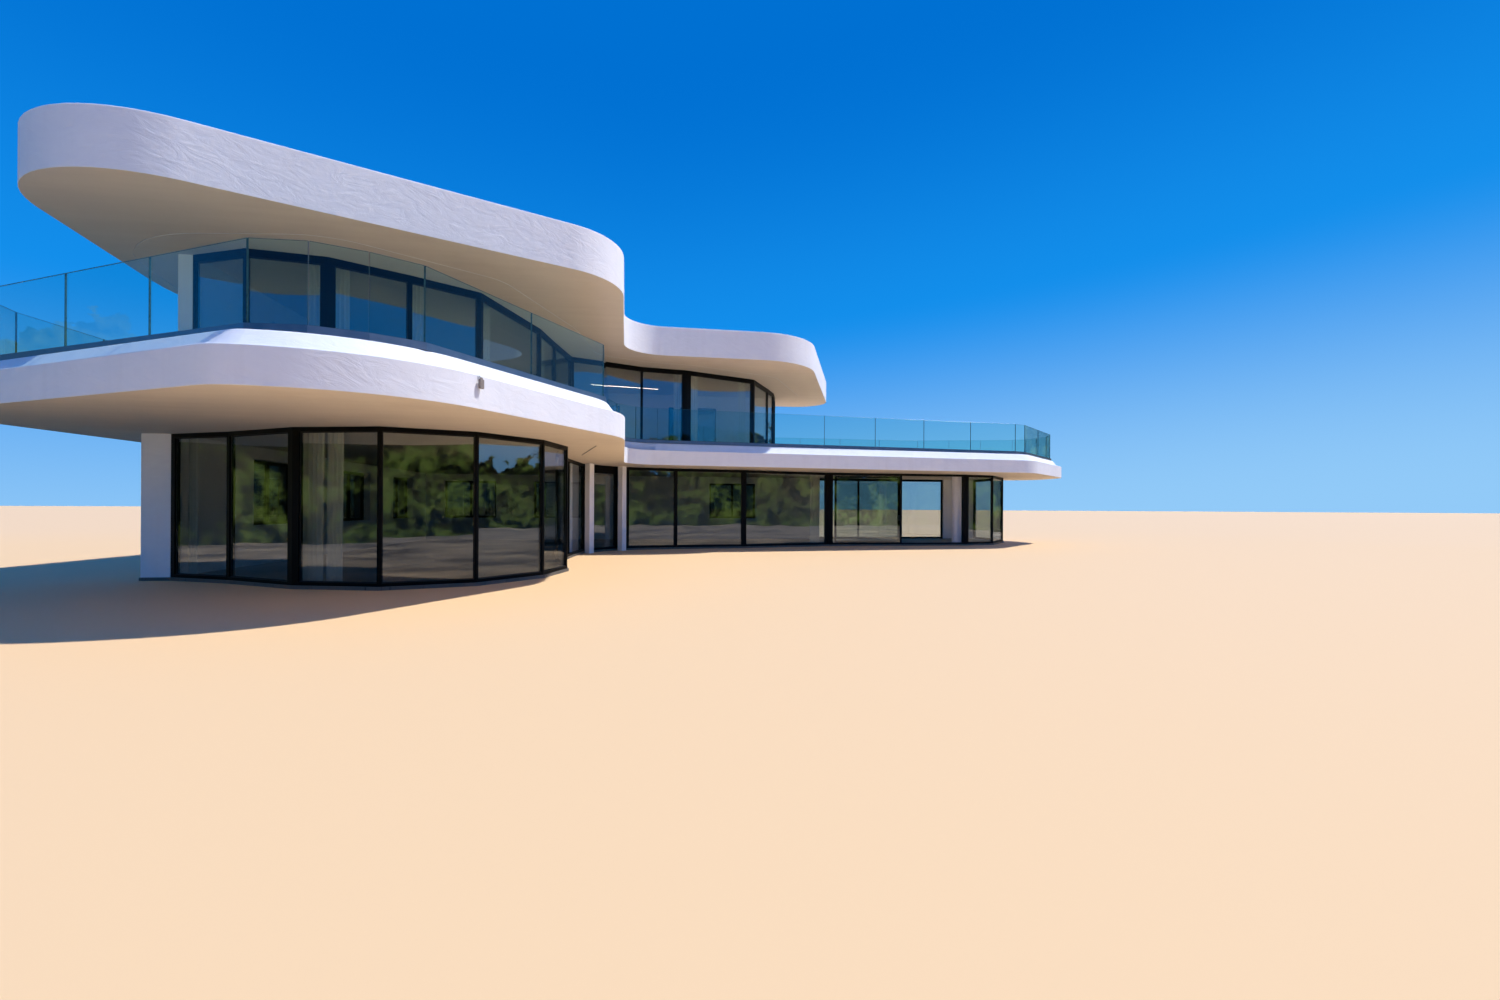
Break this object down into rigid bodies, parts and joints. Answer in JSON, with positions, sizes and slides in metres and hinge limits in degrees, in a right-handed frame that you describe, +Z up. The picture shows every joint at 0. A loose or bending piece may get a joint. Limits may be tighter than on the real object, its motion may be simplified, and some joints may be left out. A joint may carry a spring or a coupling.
{
  "type": "modern beach house",
  "caption": "Two-storey modern beach house with rounded flat white slabs, full-height curved glazing, a wraparound glass balustrade and a long low wing.",
  "frame": {"origin": "centre of the bounding box's footprint, at ground level", "axes": "+X towards the free end of the long low wing, to the right seen from the front; +Y from the front to the back; +Z up"},
  "size_m": [28.15, 22.05, 6.99],
  "materials": {
    "white_render": "smooth white exterior render, matt",
    "floor_slab": "light grey stone floor, honed",
    "black_frame": "black powder coat, satin",
    "window_glass": "tinted reflective sealed units, polished",
    "balustrade_sheet": "clear toughened glass with a slight green tint",
    "channel_metal": "grey anodised, satin",
    "curtain_cloth": "cream woven cloth, matt",
    "lamp_shell": "white powder coat, satin"
  },
  "bodies": {
    "house": {"ground_slab": "floor_slab", "left_wall_ground": "white_render", "rear_wall_ground": "white_render", "rear_end_wall_ground": "white_render", "square_columns": "white_render", "round_column": "white_render", "lobe_frame_ground": "black_frame", "lobe_glass_ground": "window_glass", "corner_frame_ground": "black_frame", "corner_glass_ground": "window_glass", "wing_frame_ground": "black_frame", "wing_glass_ground": "window_glass", "sliding_door_frame": "black_frame", "sliding_door_fixed_glass": "window_glass", "wing_end_frame_ground": "black_frame", "wing_end_glass_ground": "window_glass", "rear_frame_ground": "black_frame", "rear_glass_ground": "window_glass", "window_frames_ground": "black_frame", "window_glass_ground": "window_glass", "curtains_ground": "curtain_cloth", "terrace_slab": "white_render", "terrace_kerb": "white_render", "balustrade_channel": "channel_metal", "side_balustrade_glass": "balustrade_sheet", "lobe_balustrade_glass": "balustrade_sheet", "wing_balustrade_glass": "balustrade_sheet", "rear_balustrade_glass": "balustrade_sheet", "fascia_light": "lamp_shell", "line_light": "lamp_shell", "curtains_upper": "curtain_cloth", "left_wall_upper": "white_render", "rear_wall_upper": "white_render", "lobe_frame_upper": "black_frame", "lobe_glass_upper": "window_glass", "wing_frame_upper": "black_frame", "wing_glass_upper": "window_glass", "window_frames_upper": "black_frame", "window_glass_upper": "window_glass", "roof_slab": "white_render", "roof_parapet": "white_render"},
    "sliding_leaf": {"sliding_leaf_frame": "black_frame", "sliding_leaf_glass": "window_glass"}
  },
  "joints": [
    {"name": "leaf_slide", "type": "slide", "parent": "house", "child": "sliding_leaf", "axis": [1, 0, 0], "range_m": [0, 2.537]}
  ]
}
